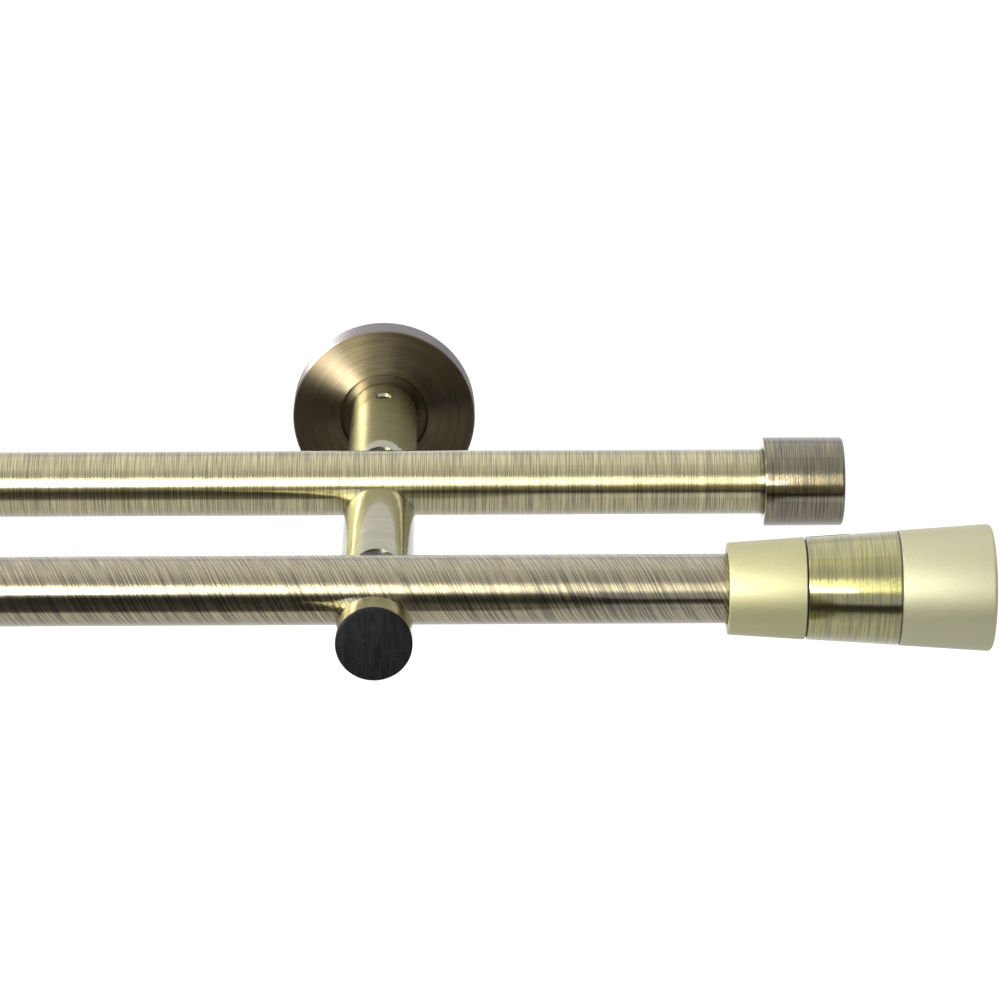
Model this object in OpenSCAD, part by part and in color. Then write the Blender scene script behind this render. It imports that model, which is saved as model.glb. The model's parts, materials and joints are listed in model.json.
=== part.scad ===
// Double curtain pole: a rear and a front pole carried by two wall brackets.
// Millimetres. +X runs along the poles, the wall is the plane Y = 0, the room is on -Y and +Z is up.
// The origin is on the wall, midway between the brackets and level with their arms.

/* [Poles] */
// Outside diameter of both poles
pole_d = 20; // [18:0.5:22]
// Wall of the pole tubes
pole_wall = 1; // [0.8:0.1:2]
// Rear pole that shows between a bracket's middle and the cap
rear_show = 118; // [60:1:250]
// Front pole that shows between a bracket's middle and the finial
front_show = 101; // [60:1:250]

/* [Layout] */
// Distance between the middles of the two brackets
bracket_gap = 360; // [200:10:1600]
// Distance from the wall to the axis of the rear pole
rear_reach = 100; // [90:1:140]
// Distance between the axes of the two poles
pole_gap = 93; // [70:1:130]

/* [Arm] */
// Outside diameter of the arm
arm_d = 22; // [21:0.5:28]
// Wall of the arm tube
arm_wall = 2; // [1.5:0.1:2.5]
// Arm in front of the front pole's axis, with the end plug
arm_nose = 20; // [19:0.5:40]
// Depth of a pole's axis below the top of the arm
cradle_lip = 2; // [1:0.25:3]

/* [Wall plate] */
// Space between the wall plate's edge and the rose's rim all round
plate_space = 3.5; // [0.5:0.25:5]
// Thickness of the wall plate
plate_t = 3; // [3:0.25:4]
// Plate left outside the countersink of a wall screw hole
wall_hole_land = 3.7; // [2:0.1:5]
// Diameter of a wall screw hole
wall_hole_d = 5.2; // [4:0.1:6]
// Diameter of the countersink of a wall screw hole
wall_sink_d = 8.6; // [7:0.1:9]
// Length of the spigot that the arm slides over
spigot_l = 30; // [26:1:40]
// Diameter of the spigot's screw
spigot_screw_d = 6; // [5:0.5:6]
// Diameter of the head of the spigot's screw
spigot_head_d = 11; // [9:0.5:11]
// Length of the spigot's screw under the face of its head
spigot_screw_l = 18; // [12:1:20]

/* [Rose] */
// Diameter of the rose
rose_d = 60; // [58:1:80]
// Height of the rose from the wall
rose_h = 9; // [9:0.5:14]
// Wall of the rose's rim
rose_wall = 1.5; // [1:0.1:2]
// Thickness of the rose's face at its thinnest
rose_face = 1.5; // [1:0.1:1.5]
// Fall of the dished face from its edge to the ring
rose_dish = 1.3; // [0.5:0.1:1.5]
// Diameter of the turned ring round the arm
rose_ring_d = 29.4; // [28:0.2:40]
// Depth of the recess inside the turned ring
rose_step = 0.8; // [0.3:0.1:1]

/* [Cradle blocks] */
// Distance of the block screw behind the pole's axis
screw_back = 23.5; // [20:0.5:30]
// Block beyond the screw's axis
block_end = 8.5; // [7:0.5:12]
// Space between the front block and the end plug
plug_space = 1; // [0.5:0.25:3]
// Diameter of a block screw's head
head_d = 11; // [9:0.5:12]
// Diameter of a block screw's shank
screw_d = 5; // [4:0.5:6]
// Length of a block screw
screw_l = 15; // [10:0.5:16]
// Depth of the head's face below the top of the arm
head_sink = 0.6; // [0.4:0.1:1.5]

/* [Grub screws] */
// Diameter of every grub screw
grub_d = 4; // [3:0.5:5]
// Distance of the arm's grub screw in front of the rose
arm_grub_set = 10.5; // [8:0.5:16]
// Depth of the dimple in the spigot under the arm's grub screw
dimple_depth = 2.5; // [1:0.1:4]
// Depth of a grub screw's outer end below the surface round it
grub_sink = 0.8; // [0.3:0.1:1.2]

/* [End plug] */
// Thickness of the end plug's face
plug_face = 1.5; // [1:0.1:3]
// Length of the end plug's spigot
plug_l = 5; // [4:0.5:6]
// Wall of the end plug's spigot
plug_wall = 1.6; // [1:0.1:2.5]

/* [Rear cap] */
// Diameter of the rear pole's cap
cap_d = 27.4; // [26:0.2:34]
// Length of the cap
cap_l = 24.5; // [22:0.5:40]
// Thickness of the cap's closed end
cap_end = 4.5; // [4:0.25:6]
// Length of the insert's ribbed spigot inside the pole
insert_l = 14; // [8:0.5:20]
// Thickness of the insert's flange between pole and cap
insert_flange = 2; // [1:0.25:3]
// Wall of the insert's spigot
insert_wall = 1.5; // [1:0.1:2]
// Height of a rib on the insert
rib_h = 0.8; // [0.4:0.1:1]
// Width of a rib on the insert
rib_w = 1.2; // [0.8:0.1:2]

/* [Finial] */
// Diameter of the finial's narrow end
finial_narrow_d = 26.4; // [26:0.2:30]
// Diameter of the finial's wide end
finial_wide_d = 36.6; // [34:0.2:46]
// Length of the narrow band
narrow_l = 22.4; // [22:0.1:30]
// Length of the middle band
middle_l = 26.6; // [16:0.1:34]
// Length of the wide band
wide_l = 26.6; // [22:0.1:36]
// Width of the groove between two bands
seam_w = 0.3; // [0.2:0.05:0.6]
// Depth of the groove between two bands
seam_depth = 0.8; // [0.5:0.1:1.2]
// Length of pole inside the finial
socket_l = 19; // [16:0.5:20]
// Wall of the core round the pole
core_wall = 1; // [0.8:0.1:1.3]
// Diameter of the core's stud in the wide band
stud_d = 10; // [6:0.5:12]
// Length of the core's stud
stud_l = 12; // [8:0.5:14]

/* [Hidden] */
$fn = 96;

// Clearance of a piece that slides into another
fit = 0.1;
// Clearance round a pole in its cradles and in the finial's core
pole_fit = 0.15;
// Gap that shows round a pole at the mouth of a cap or finial
mouth_gap = 0.35;
// Overrun of every cut past the face it opens
over = 1;
// Steps in the arc of a rounded edge
ARC_STEPS = 6;

// Small edges
fine_edge = 0.3;
plate_edge = 0.5;
rose_edge = 0.6;
block_edge = 0.8;
cap_edge = 0.9;
mouth_edge = 0.5;
band_edge = 0.35;
finial_edge = 1.2;

// Screw details
head_land = 0.3;
recess_span_share = 0.52;
recess_width_share = 0.11;
recess_depth_share = 0.2;
grub_socket_share = 0.55;
grub_socket_depth_share = 0.45;
grub_rim = 0.8;
grub_tip_share = 0.6;

// Arm, along its own axis from the wall
arm_r = arm_d / 2;
arm_bore_d = arm_d - 2 * arm_wall;
core_bar_d = arm_bore_d - 2 * fit;
front_reach = rear_reach + pole_gap;
nose_reach = front_reach + arm_nose;
arm_end = nose_reach - plug_face;
arm_grub_reach = rose_h + arm_grub_set;
pole_rise = arm_r - cradle_lip;
cradle_d = pole_d + 2 * pole_fit;
block_front = arm_nose - plug_face - plug_l - plug_space;
block_back = screw_back + block_end;
head_level = arm_r - head_sink;

// Wall plate inside the rose, and its two screw holes one above the other
plate_d = rose_d - 2 * rose_wall - 2 * plate_space;
wall_hole_gap = plate_d - 2 * wall_hole_land - wall_sink_d;

// Poles
pole_bore_d = pole_d - 2 * pole_wall;
cap_x = bracket_gap / 2 + rear_show;
finial_x = bracket_gap / 2 + front_show;
cap_depth = cap_l - cap_end;
rear_pole_l = 2 * (cap_x + cap_depth - insert_flange);
front_pole_l = 2 * (finial_x + socket_l);

// Cap insert
insert_d = pole_bore_d - 2 * rib_h - 2 * fit;
insert_stub_d = insert_d - 2 * insert_wall;
insert_stub_l = cap_end / 2;
RIBS = 8;

// Finial, along its own axis from the narrow end
finial_l = narrow_l + middle_l + wide_l;
core_d = pole_d + 2 * pole_fit + 2 * core_wall;
core_bore_d = core_d + 2 * fit;
mouth_d = pole_d + 2 * mouth_gap;
core_start = 2;
core_register = 4;
core_end = narrow_l + middle_l + core_register;
finial_grub_set = 12;

// Colours
OLIVE_BRASS = [0.50, 0.46, 0.32];
GREY_BRASS = [0.46, 0.42, 0.34];
POLISHED_BRASS = [0.55, 0.50, 0.32];
DARK_BRASS = [0.33, 0.29, 0.19];
PALE_BRASS = [0.74, 0.73, 0.50];
CAP_BRASS = [0.43, 0.39, 0.26];
ZINC = [0.55, 0.57, 0.58];
STEEL = [0.62, 0.62, 0.60];
BLACK = [0.04, 0.04, 0.04];
NATURAL = [0.80, 0.79, 0.74];

// Points of an arc of radius r about (x, y), from angle a to angle b
function arc(x, y, r, a, b) =
    [for (i = [0 : ARC_STEPS]) let (t = a + (b - a) * i / ARC_STEPS) [x + r * cos(t), y + r * sin(t)]];

// Radius of the finial's outside at a distance from its narrow end
function finial_r(along) =
    (finial_narrow_d + (finial_wide_d - finial_narrow_d) * along / finial_l) / 2;

// Turned piece from half of its section, given as radius and height
module turned(points) {
    rotate_extrude() polygon(points);
}

// Bar with both ends chamfered
module chamfered_bar(d, h, edge) {
    turned([
        [0, 0],
        [d / 2 - edge, 0],
        [d / 2, edge],
        [d / 2, h - edge],
        [d / 2 - edge, h],
        [0, h]
    ]);
}

// Places a bracket piece, drawn with +Z away from the wall and +Y up, on the right or left bracket
module on_bracket(side) {
    translate([side * bracket_gap / 2, 0, 0]) rotate([90, 0, 0]) children();
}

// Points a piece drawn with +Z up out of the arm's top, at a distance from the wall
module on_arm(reach, level) {
    translate([0, level, reach]) rotate([-90, 0, 0]) children();
}

// Places an end piece, drawn with +Z away from the pole, on the right or left end
module on_pole_end(side, end_x, reach) {
    mirror([side < 0 ? 1 : 0, 0, 0]) translate([end_x, -reach, pole_rise]) rotate([0, 90, 0]) children();
}

// Cross recess of a screw, cut down from the face of the head
module cross_recess(d) {
    span = d * recess_span_share;
    width = d * recess_width_share;
    depth = d * recess_depth_share;
    for (turn = [0, 90])
        rotate([0, 0, turn])
            translate([-span / 2, -width / 2, -depth])
                cube([span, width, depth + over]);
    translate([0, 0, -depth]) cylinder(d1 = width, d2 = span - width, h = depth);
}

// Countersunk screw with its face at Z = 0 and its tip down
module countersunk_screw(head, shank, length) {
    cone = (head - shank) / 2;
    difference() {
        turned([
            [0, 0],
            [head / 2, 0],
            [head / 2, -head_land],
            [shank / 2, -head_land - cone],
            [shank / 2, -length + block_edge],
            [shank / 2 - block_edge, -length],
            [0, -length]
        ]);
        cross_recess(head);
    }
}

// Space for a countersunk screw, open above Z = 0
module screw_seat(head, shank, length) {
    cone = (head - shank) / 2;
    turned([
        [0, arm_d],
        [head / 2 + fit, arm_d],
        [head / 2 + fit, -head_land],
        [shank / 2 + fit, -head_land - cone],
        [shank / 2 + fit, -length - fit],
        [0, -length - fit]
    ]);
}

// Grub screw with its socket at Z = 0 and its tip at Z = -length
module grub_screw(length) {
    socket_d = grub_d * grub_socket_share;
    socket_depth = min(length, grub_d) * grub_socket_depth_share;
    tip_r = grub_d / 2 * grub_tip_share;
    difference() {
        turned([
            [0, 0],
            [grub_d / 2 - fine_edge, 0],
            [grub_d / 2, -fine_edge],
            [grub_d / 2, -length + grub_d / 2 - tip_r],
            [tip_r, -length],
            [0, -length]
        ]);
        translate([0, 0, -socket_depth]) cylinder(d = socket_d, h = socket_depth + over, $fn = 6);
    }
}

// Hole for a grub screw, from Z = -depth up through Z = 0, with a chamfered rim
module grub_hole(depth) {
    translate([0, 0, -depth]) cylinder(d = grub_d + 2 * fit, h = depth + over);
    translate([0, 0, -grub_rim])
        cylinder(d1 = grub_d + 2 * fit, d2 = grub_d + 2 * fit + 2 * grub_rim, h = grub_rim);
    cylinder(d = grub_d + 2 * fit + 2 * grub_rim, h = over);
}

// Cut that a pole lies in: round below the pole's axis, open above it
module cradle_cut(reach) {
    translate([0, pole_rise, reach]) {
        rotate([0, 90, 0]) cylinder(d = cradle_d, h = arm_d + 2 * over, center = true);
        translate([-arm_r - over, 0, -cradle_d / 2]) cube([arm_d + 2 * over, arm_d, cradle_d]);
    }
}

// Hole for a pole's grub screw, from under the arm up to the pole
module pole_grub_hole(reach) {
    translate([0, -arm_r, reach]) rotate([90, 0, 0]) grub_hole(arm_r + pole_rise);
}

module wall_plate(side) {
    sink = (wall_sink_d - wall_hole_d) / 2;
    color(STEEL) on_bracket(side) difference() {
        turned([
            [0, 0],
            [plate_d / 2, 0],
            [plate_d / 2, plate_t - plate_edge],
            [plate_d / 2 - plate_edge, plate_t],
            [0, plate_t]
        ]);
        rotate([180, 0, 0]) screw_seat(spigot_head_d, spigot_screw_d, spigot_screw_l);
        for (up = [-1, 1]) translate([0, up * wall_hole_gap / 2, 0]) {
            translate([0, 0, -over]) cylinder(d = wall_hole_d, h = plate_t + 2 * over);
            translate([0, 0, plate_t - sink]) cylinder(d1 = wall_hole_d, d2 = wall_sink_d, h = sink);
            translate([0, 0, plate_t]) cylinder(d = wall_sink_d, h = over);
        }
    }
}

module spigot(side) {
    color(STEEL) on_bracket(side) difference() {
        turned([
            [0, plate_t],
            [core_bar_d / 2, plate_t],
            [core_bar_d / 2, plate_t + spigot_l - block_edge],
            [core_bar_d / 2 - block_edge, plate_t + spigot_l],
            [0, plate_t + spigot_l]
        ]);
        rotate([180, 0, 0]) screw_seat(spigot_head_d, spigot_screw_d, spigot_screw_l);
        on_arm(arm_grub_reach, core_bar_d / 2 - dimple_depth) cylinder(d = grub_d + 2 * fit, h = arm_r);
    }
}

module spigot_screw(side) {
    color(ZINC) on_bracket(side) rotate([180, 0, 0])
        countersunk_screw(spigot_head_d, spigot_screw_d, spigot_screw_l);
}

module rose(side) {
    ring_level = rose_h - rose_dish;
    hub_level = ring_level - rose_step;
    inner_level = hub_level - rose_face;
    bore_r = arm_r + pole_fit;
    color(DARK_BRASS) on_bracket(side) turned(concat(
        [[rose_d / 2 - rose_wall, 0], [rose_d / 2, 0]],
        arc(rose_d / 2 - rose_edge, rose_h - rose_edge, rose_edge, 0, 90),
        [
            [rose_ring_d / 2, ring_level],
            [rose_ring_d / 2 - rose_step, hub_level],
            [bore_r, hub_level],
            [bore_r, inner_level],
            [rose_d / 2 - rose_wall, inner_level]
        ]
    ));
}

module arm(side) {
    color(POLISHED_BRASS) on_bracket(side) difference() {
        translate([0, 0, plate_t]) cylinder(d = arm_d, h = arm_end - plate_t);
        translate([0, 0, plate_t - over]) cylinder(d = arm_bore_d, h = arm_end - plate_t + 2 * over);
        for (reach = [rear_reach, front_reach]) {
            cradle_cut(reach);
            on_arm(reach - screw_back, head_level) screw_seat(head_d, screw_d, screw_l);
            pole_grub_hole(reach);
        }
        on_arm(arm_grub_reach, arm_r) grub_hole(arm_r);
    }
}

module arm_grub_screw(side) {
    foot = core_bar_d / 2 - dimple_depth;
    color(ZINC) on_bracket(side) on_arm(arm_grub_reach, arm_r - grub_sink)
        grub_screw(arm_r - grub_sink - foot);
}

module cradle_block(side, reach) {
    color(ZINC) on_bracket(side) difference() {
        translate([0, 0, reach - block_back])
            chamfered_bar(core_bar_d, block_back + block_front, block_edge);
        cradle_cut(reach);
        on_arm(reach - screw_back, head_level) screw_seat(head_d, screw_d, screw_l);
        pole_grub_hole(reach);
    }
}

module block_screw(side, reach) {
    color(ZINC) on_bracket(side) on_arm(reach - screw_back, head_level)
        countersunk_screw(head_d, screw_d, screw_l);
}

// The tip stops just short of the pole, which it presses when it is turned tight
module pole_grub_screw(side, reach) {
    foot = pole_rise - pole_d / 2 - fit / 2;
    color(ZINC) on_bracket(side) translate([0, grub_sink - arm_r, reach]) rotate([90, 0, 0])
        grub_screw(foot + arm_r - grub_sink);
}

module end_plug(side) {
    spigot_r = core_bar_d / 2;
    color(BLACK) on_bracket(side) turned(concat(
        [
            [0, arm_end],
            [spigot_r - plug_wall, arm_end],
            [spigot_r - plug_wall, arm_end - plug_l],
            [spigot_r - fine_edge, arm_end - plug_l],
            [spigot_r, arm_end - plug_l + fine_edge],
            [spigot_r, arm_end],
            [arm_r, arm_end]
        ],
        arc(arm_r - fine_edge, nose_reach - fine_edge, fine_edge, 0, 90),
        [[0, nose_reach]]
    ));
}

module pole(reach, length) {
    translate([-length / 2, -reach, pole_rise]) rotate([0, 90, 0]) difference() {
        cylinder(d = pole_d, h = length);
        translate([0, 0, -over]) cylinder(d = pole_bore_d, h = length + 2 * over);
    }
}

module finial_core(side) {
    pocket_end = socket_l + pole_fit;
    color(STEEL) on_pole_end(side, finial_x, front_reach) difference() {
        turned([
            [core_d / 2 - core_wall, core_start],
            [core_d / 2, core_start],
            [core_d / 2, core_end],
            [stud_d / 2, core_end],
            [stud_d / 2, core_end + stud_l - fine_edge],
            [stud_d / 2 - fine_edge, core_end + stud_l],
            [0, core_end + stud_l],
            [0, pocket_end],
            [core_d / 2 - core_wall, pocket_end]
        ]);
        finial_grub_cut();
    }
}

// Hole for the finial's grub screw, from below up to the pole
module finial_grub_cut() {
    rim_r = finial_r(finial_grub_set);
    translate([rim_r, 0, finial_grub_set]) rotate([0, 90, 0]) grub_hole(rim_r);
}

module narrow_band(side) {
    seam = narrow_l - seam_w;
    color(PALE_BRASS) on_pole_end(side, finial_x, front_reach) difference() {
        turned(concat(
            [[mouth_d / 2, 0]],
            arc(finial_r(0) - mouth_edge, mouth_edge, mouth_edge, -90, 0),
            arc(finial_r(seam) - band_edge, seam - band_edge, band_edge, 0, 90),
            [
                [finial_r(seam) - seam_depth, seam],
                [finial_r(seam) - seam_depth, narrow_l],
                [core_bore_d / 2, narrow_l],
                [core_bore_d / 2, core_start - fit],
                [mouth_d / 2, core_start - fit]
            ]
        ));
        finial_grub_cut();
    }
}

module middle_band(side) {
    start = narrow_l;
    end = narrow_l + middle_l;
    seam = end - seam_w;
    color(DARK_BRASS) on_pole_end(side, finial_x, front_reach) turned(concat(
        [[core_bore_d / 2, start]],
        arc(finial_r(start) - band_edge, start + band_edge, band_edge, -90, 0),
        arc(finial_r(seam) - band_edge, seam - band_edge, band_edge, 0, 90),
        [
            [finial_r(seam) - seam_depth, seam],
            [finial_r(seam) - seam_depth, end],
            [core_bore_d / 2, end]
        ]
    ));
}

module wide_band(side) {
    start = narrow_l + middle_l;
    color(PALE_BRASS) on_pole_end(side, finial_x, front_reach) turned(concat(
        [[core_bore_d / 2, start]],
        arc(finial_r(start) - band_edge, start + band_edge, band_edge, -90, 0),
        arc(finial_r(finial_l) - finial_edge, finial_l - finial_edge, finial_edge, 0, 90),
        [
            [0, finial_l],
            [0, core_end + stud_l + fit],
            [stud_d / 2 + fit, core_end + stud_l + fit],
            [stud_d / 2 + fit, core_end + fit],
            [core_bore_d / 2, core_end + fit]
        ]
    ));
}

module finial_grub_screw(side) {
    rim_r = finial_r(finial_grub_set) - grub_sink;
    color(ZINC) on_pole_end(side, finial_x, front_reach)
        translate([rim_r, 0, finial_grub_set]) rotate([0, 90, 0])
            grub_screw(rim_r - pole_d / 2 - fit / 2);
}

module cap(side) {
    stub_level = cap_depth + insert_stub_l;
    color(CAP_BRASS) on_pole_end(side, cap_x, rear_reach) turned(concat(
        [[mouth_d / 2, 0]],
        arc(cap_d / 2 - mouth_edge, mouth_edge, mouth_edge, -90, 0),
        arc(cap_d / 2 - cap_edge, cap_l - cap_edge, cap_edge, 0, 90),
        [
            [0, cap_l],
            [0, stub_level + fit],
            [insert_stub_d / 2 + fit, stub_level + fit],
            [insert_stub_d / 2 + fit, cap_depth],
            [mouth_d / 2, cap_depth]
        ]
    ));
}

module cap_insert(side) {
    inner_r = insert_d / 2 - insert_wall;
    flange_level = cap_depth - insert_flange;
    color(NATURAL) on_pole_end(side, cap_x, rear_reach) {
        turned([
            [0, flange_level],
            [inner_r, flange_level],
            [inner_r, flange_level - insert_l],
            [insert_d / 2 - fine_edge, flange_level - insert_l],
            [insert_d / 2, flange_level - insert_l + fine_edge],
            [insert_d / 2, flange_level],
            [pole_d / 2, flange_level],
            [pole_d / 2, cap_depth],
            [insert_stub_d / 2, cap_depth],
            [insert_stub_d / 2, cap_depth + insert_stub_l],
            [0, cap_depth + insert_stub_l]
        ]);
        for (i = [0 : RIBS - 1])
            rotate([0, 0, i * 360 / RIBS])
                translate([insert_d / 2 - insert_wall / 2, -rib_w / 2, flange_level - insert_l + block_edge])
                    cube([insert_wall / 2 + rib_h, rib_w, insert_l - block_edge]);
    }
}

wall_plate(1);  // right_wall_plate
spigot(1);  // right_spigot
spigot_screw(1);  // right_spigot_screw
rose(1);  // right_rose
arm(1);  // right_arm
arm_grub_screw(1);  // right_arm_grub_screw
cradle_block(1, rear_reach);  // right_rear_block
cradle_block(1, front_reach);  // right_front_block
block_screw(1, rear_reach);  // right_rear_block_screw
block_screw(1, front_reach);  // right_front_block_screw
pole_grub_screw(1, rear_reach);  // right_rear_pole_grub_screw
pole_grub_screw(1, front_reach);  // right_front_pole_grub_screw
end_plug(1);  // right_end_plug
wall_plate(-1);  // left_wall_plate
spigot(-1);  // left_spigot
spigot_screw(-1);  // left_spigot_screw
rose(-1);  // left_rose
arm(-1);  // left_arm
arm_grub_screw(-1);  // left_arm_grub_screw
cradle_block(-1, rear_reach);  // left_rear_block
cradle_block(-1, front_reach);  // left_front_block
block_screw(-1, rear_reach);  // left_rear_block_screw
block_screw(-1, front_reach);  // left_front_block_screw
pole_grub_screw(-1, rear_reach);  // left_rear_pole_grub_screw
pole_grub_screw(-1, front_reach);  // left_front_pole_grub_screw
end_plug(-1);  // left_end_plug
color(OLIVE_BRASS) pole(rear_reach, rear_pole_l);  // rear_pole
color(GREY_BRASS) pole(front_reach, front_pole_l);  // front_pole
finial_core(1);  // right_finial_core
narrow_band(1);  // right_narrow_band
middle_band(1);  // right_middle_band
wide_band(1);  // right_wide_band
finial_grub_screw(1);  // right_finial_grub_screw
finial_core(-1);  // left_finial_core
narrow_band(-1);  // left_narrow_band
middle_band(-1);  // left_middle_band
wide_band(-1);  // left_wide_band
finial_grub_screw(-1);  // left_finial_grub_screw
cap(1);  // right_cap
cap_insert(1);  // right_cap_insert
cap(-1);  // left_cap
cap_insert(-1);  // left_cap_insert
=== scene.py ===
import json
import math

import bpy
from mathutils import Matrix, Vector


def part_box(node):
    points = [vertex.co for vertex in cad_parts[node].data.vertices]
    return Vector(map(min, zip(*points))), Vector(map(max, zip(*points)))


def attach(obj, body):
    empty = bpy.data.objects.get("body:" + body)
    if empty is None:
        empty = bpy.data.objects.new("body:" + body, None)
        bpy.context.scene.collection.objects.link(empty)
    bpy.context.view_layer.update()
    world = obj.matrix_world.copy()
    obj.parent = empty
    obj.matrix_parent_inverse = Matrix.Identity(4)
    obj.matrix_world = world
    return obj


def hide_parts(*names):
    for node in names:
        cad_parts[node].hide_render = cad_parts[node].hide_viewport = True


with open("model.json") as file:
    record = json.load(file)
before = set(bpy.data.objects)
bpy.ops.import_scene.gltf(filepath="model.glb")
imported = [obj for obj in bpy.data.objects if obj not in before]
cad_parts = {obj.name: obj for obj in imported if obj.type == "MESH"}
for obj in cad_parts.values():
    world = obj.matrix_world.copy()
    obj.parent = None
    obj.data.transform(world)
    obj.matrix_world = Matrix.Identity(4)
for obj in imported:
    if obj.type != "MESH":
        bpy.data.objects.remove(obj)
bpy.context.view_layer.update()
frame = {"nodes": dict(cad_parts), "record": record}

bl_info = {
    "name": "Double curtain pole",
    "version": (1, 0, 0),
    "blender": (4, 5, 0),
    "location": "3D View > Sidebar > Curtain Pole",
    "description": "Finishes a double curtain pole with its brackets, caps and banded finials",
    "category": "Add Mesh",
}

BODY = "root"

# Places and sizes from the frame
REAR_LOW, REAR_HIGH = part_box("rear_pole")
FRONT_LOW, FRONT_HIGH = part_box("front_pole")
PLUG_LOW, PLUG_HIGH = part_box("right_end_plug")
ARM_LOW, ARM_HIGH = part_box("right_arm")
ROSE_LOW, ROSE_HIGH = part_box("right_rose")
CAP_LOW, CAP_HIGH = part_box("right_cap")
INSERT_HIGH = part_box("right_cap_insert")[1]
NARROW_LOW, NARROW_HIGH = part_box("right_narrow_band")
MIDDLE_LOW, MIDDLE_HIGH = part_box("right_middle_band")
WIDE_LOW, WIDE_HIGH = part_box("right_wide_band")
CORE_LOW, CORE_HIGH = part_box("right_finial_core")
REAR_AXIS = (REAR_LOW + REAR_HIGH) / 2
FRONT_AXIS = (FRONT_LOW + FRONT_HIGH) / 2
ARM_AXIS = (ARM_LOW + ARM_HIGH) / 2
POLE_RADIUS = (REAR_HIGH.z - REAR_LOW.z) / 2
BRACKET_X = (PLUG_LOW.x + PLUG_HIGH.x) / 2
ROSE_RADIUS = (ROSE_HIGH.z - ROSE_LOW.z) / 2
SLOTS = {part["node"]: part["material_slot"] for part in frame["record"]["subparts"]}

# Brush lines: what part of the noise is used, and how deep the streaks and the relief go
LINE_RANGE = (0.40, 0.60)
STREAK_RANGE = (0.36, 0.64)
STREAK_SHADE = 0.07
RELIEF = 0.000003

# Modelling: the insets keep round pieces inside the CAD's box
SMOOTH_ANGLE = math.radians(32)
SAME_PLACE = 0.00002
SAME_POINT = 0.000001
ROSE_INSET = 0.00002
PLUG_INSET = 0.00003

# The room, as shares of plain white
WHITE = (1.0, 1.0, 1.0, 1.0)
ROOM_LIGHT = 0.35
FLOOR_COLOUR = (0.80, 0.80, 0.80, 1.0)
FLOOR_GLOW = 0.80
CARD_DARK = 0.95
SIDE_CARD_DARK = 0.8

# The dark cards, and where the front one steps down towards the caps and finials
CARD_WIDTH = 2.4
CARD_STEP_FROM, CARD_STEP_TO = 0.27, 0.30
SIDE_CARD_MIDDLE = (0.9, -0.775, 0.25)
SIDE_CARD_WIDTH, SIDE_CARD_HEIGHT = 0.85, 1.1


class BrassColours(bpy.types.PropertyGroup):
    """Colours of the metals, as they look in white light."""

    rear_pole: bpy.props.FloatVectorProperty(
        name="Rear pole", description="Antique brass of the rear tube",
        subtype="COLOR", min=0, max=1, default=(0.340, 0.300, 0.155))
    front_pole: bpy.props.FloatVectorProperty(
        name="Front pole", description="Greyer antique brass of the front tube",
        subtype="COLOR", min=0, max=1, default=(0.255, 0.222, 0.132))
    cap: bpy.props.FloatVectorProperty(
        name="Caps", description="Dark antique brass of the rear caps",
        subtype="COLOR", min=0, max=1, default=(0.118, 0.098, 0.050))
    rose: bpy.props.FloatVectorProperty(
        name="Roses", description="Turned antique brass of the wall roses",
        subtype="COLOR", min=0, max=1, default=(0.110, 0.090, 0.055))
    # Painted sheen: the rims get a paler, greyer colour than the face of the same brass, standing in for their
    # pale reflection.
    rose_rim_sheen: bpy.props.FloatVectorProperty(
        name="Rose rims", description="Paler brass of the roses' rims",
        subtype="COLOR", min=0, max=1, default=(0.230, 0.212, 0.210))
    arm: bpy.props.FloatVectorProperty(
        name="Arms", description="Polished antique brass of the bracket arms",
        subtype="COLOR", min=0, max=1, default=(0.245, 0.226, 0.105))
    narrow_band: bpy.props.FloatVectorProperty(
        name="Narrow band", description="Satin pale brass of the narrow band",
        subtype="COLOR", min=0, max=1, default=(0.440, 0.418, 0.232))
    wide_band: bpy.props.FloatVectorProperty(
        name="Wide band", description="Slightly paler satin brass of the wide band",
        subtype="COLOR", min=0, max=1, default=(0.465, 0.452, 0.295))
    dark_band: bpy.props.FloatVectorProperty(
        name="Middle band", description="Glossy antique brass of the middle band",
        subtype="COLOR", min=0, max=1, default=(0.262, 0.242, 0.070))


class PlainColours(bpy.types.PropertyGroup):
    """Colours of the fittings that aren't brass."""

    steel: bpy.props.FloatVectorProperty(
        name="Plated steel", description="Wall plates, spigots and finial cores",
        subtype="COLOR", min=0, max=1, default=(0.560, 0.560, 0.540))
    screw: bpy.props.FloatVectorProperty(
        name="Screws", description="Grey zinc of the screws",
        subtype="COLOR", min=0, max=1, default=(0.060, 0.063, 0.060))
    casting: bpy.props.FloatVectorProperty(
        name="Castings", description="Plain cast zinc of the cradle blocks",
        subtype="COLOR", min=0, max=1, default=(0.400, 0.400, 0.400))
    plug: bpy.props.FloatVectorProperty(
        name="End plugs", description="Matt black plastic of the arms' end plugs",
        subtype="COLOR", min=0, max=1, default=(0.004, 0.004, 0.004))
    insert: bpy.props.FloatVectorProperty(
        name="Cap inserts", description="Natural plastic of the inserts in the caps",
        subtype="COLOR", min=0, max=1, default=(0.600, 0.580, 0.500))


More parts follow.
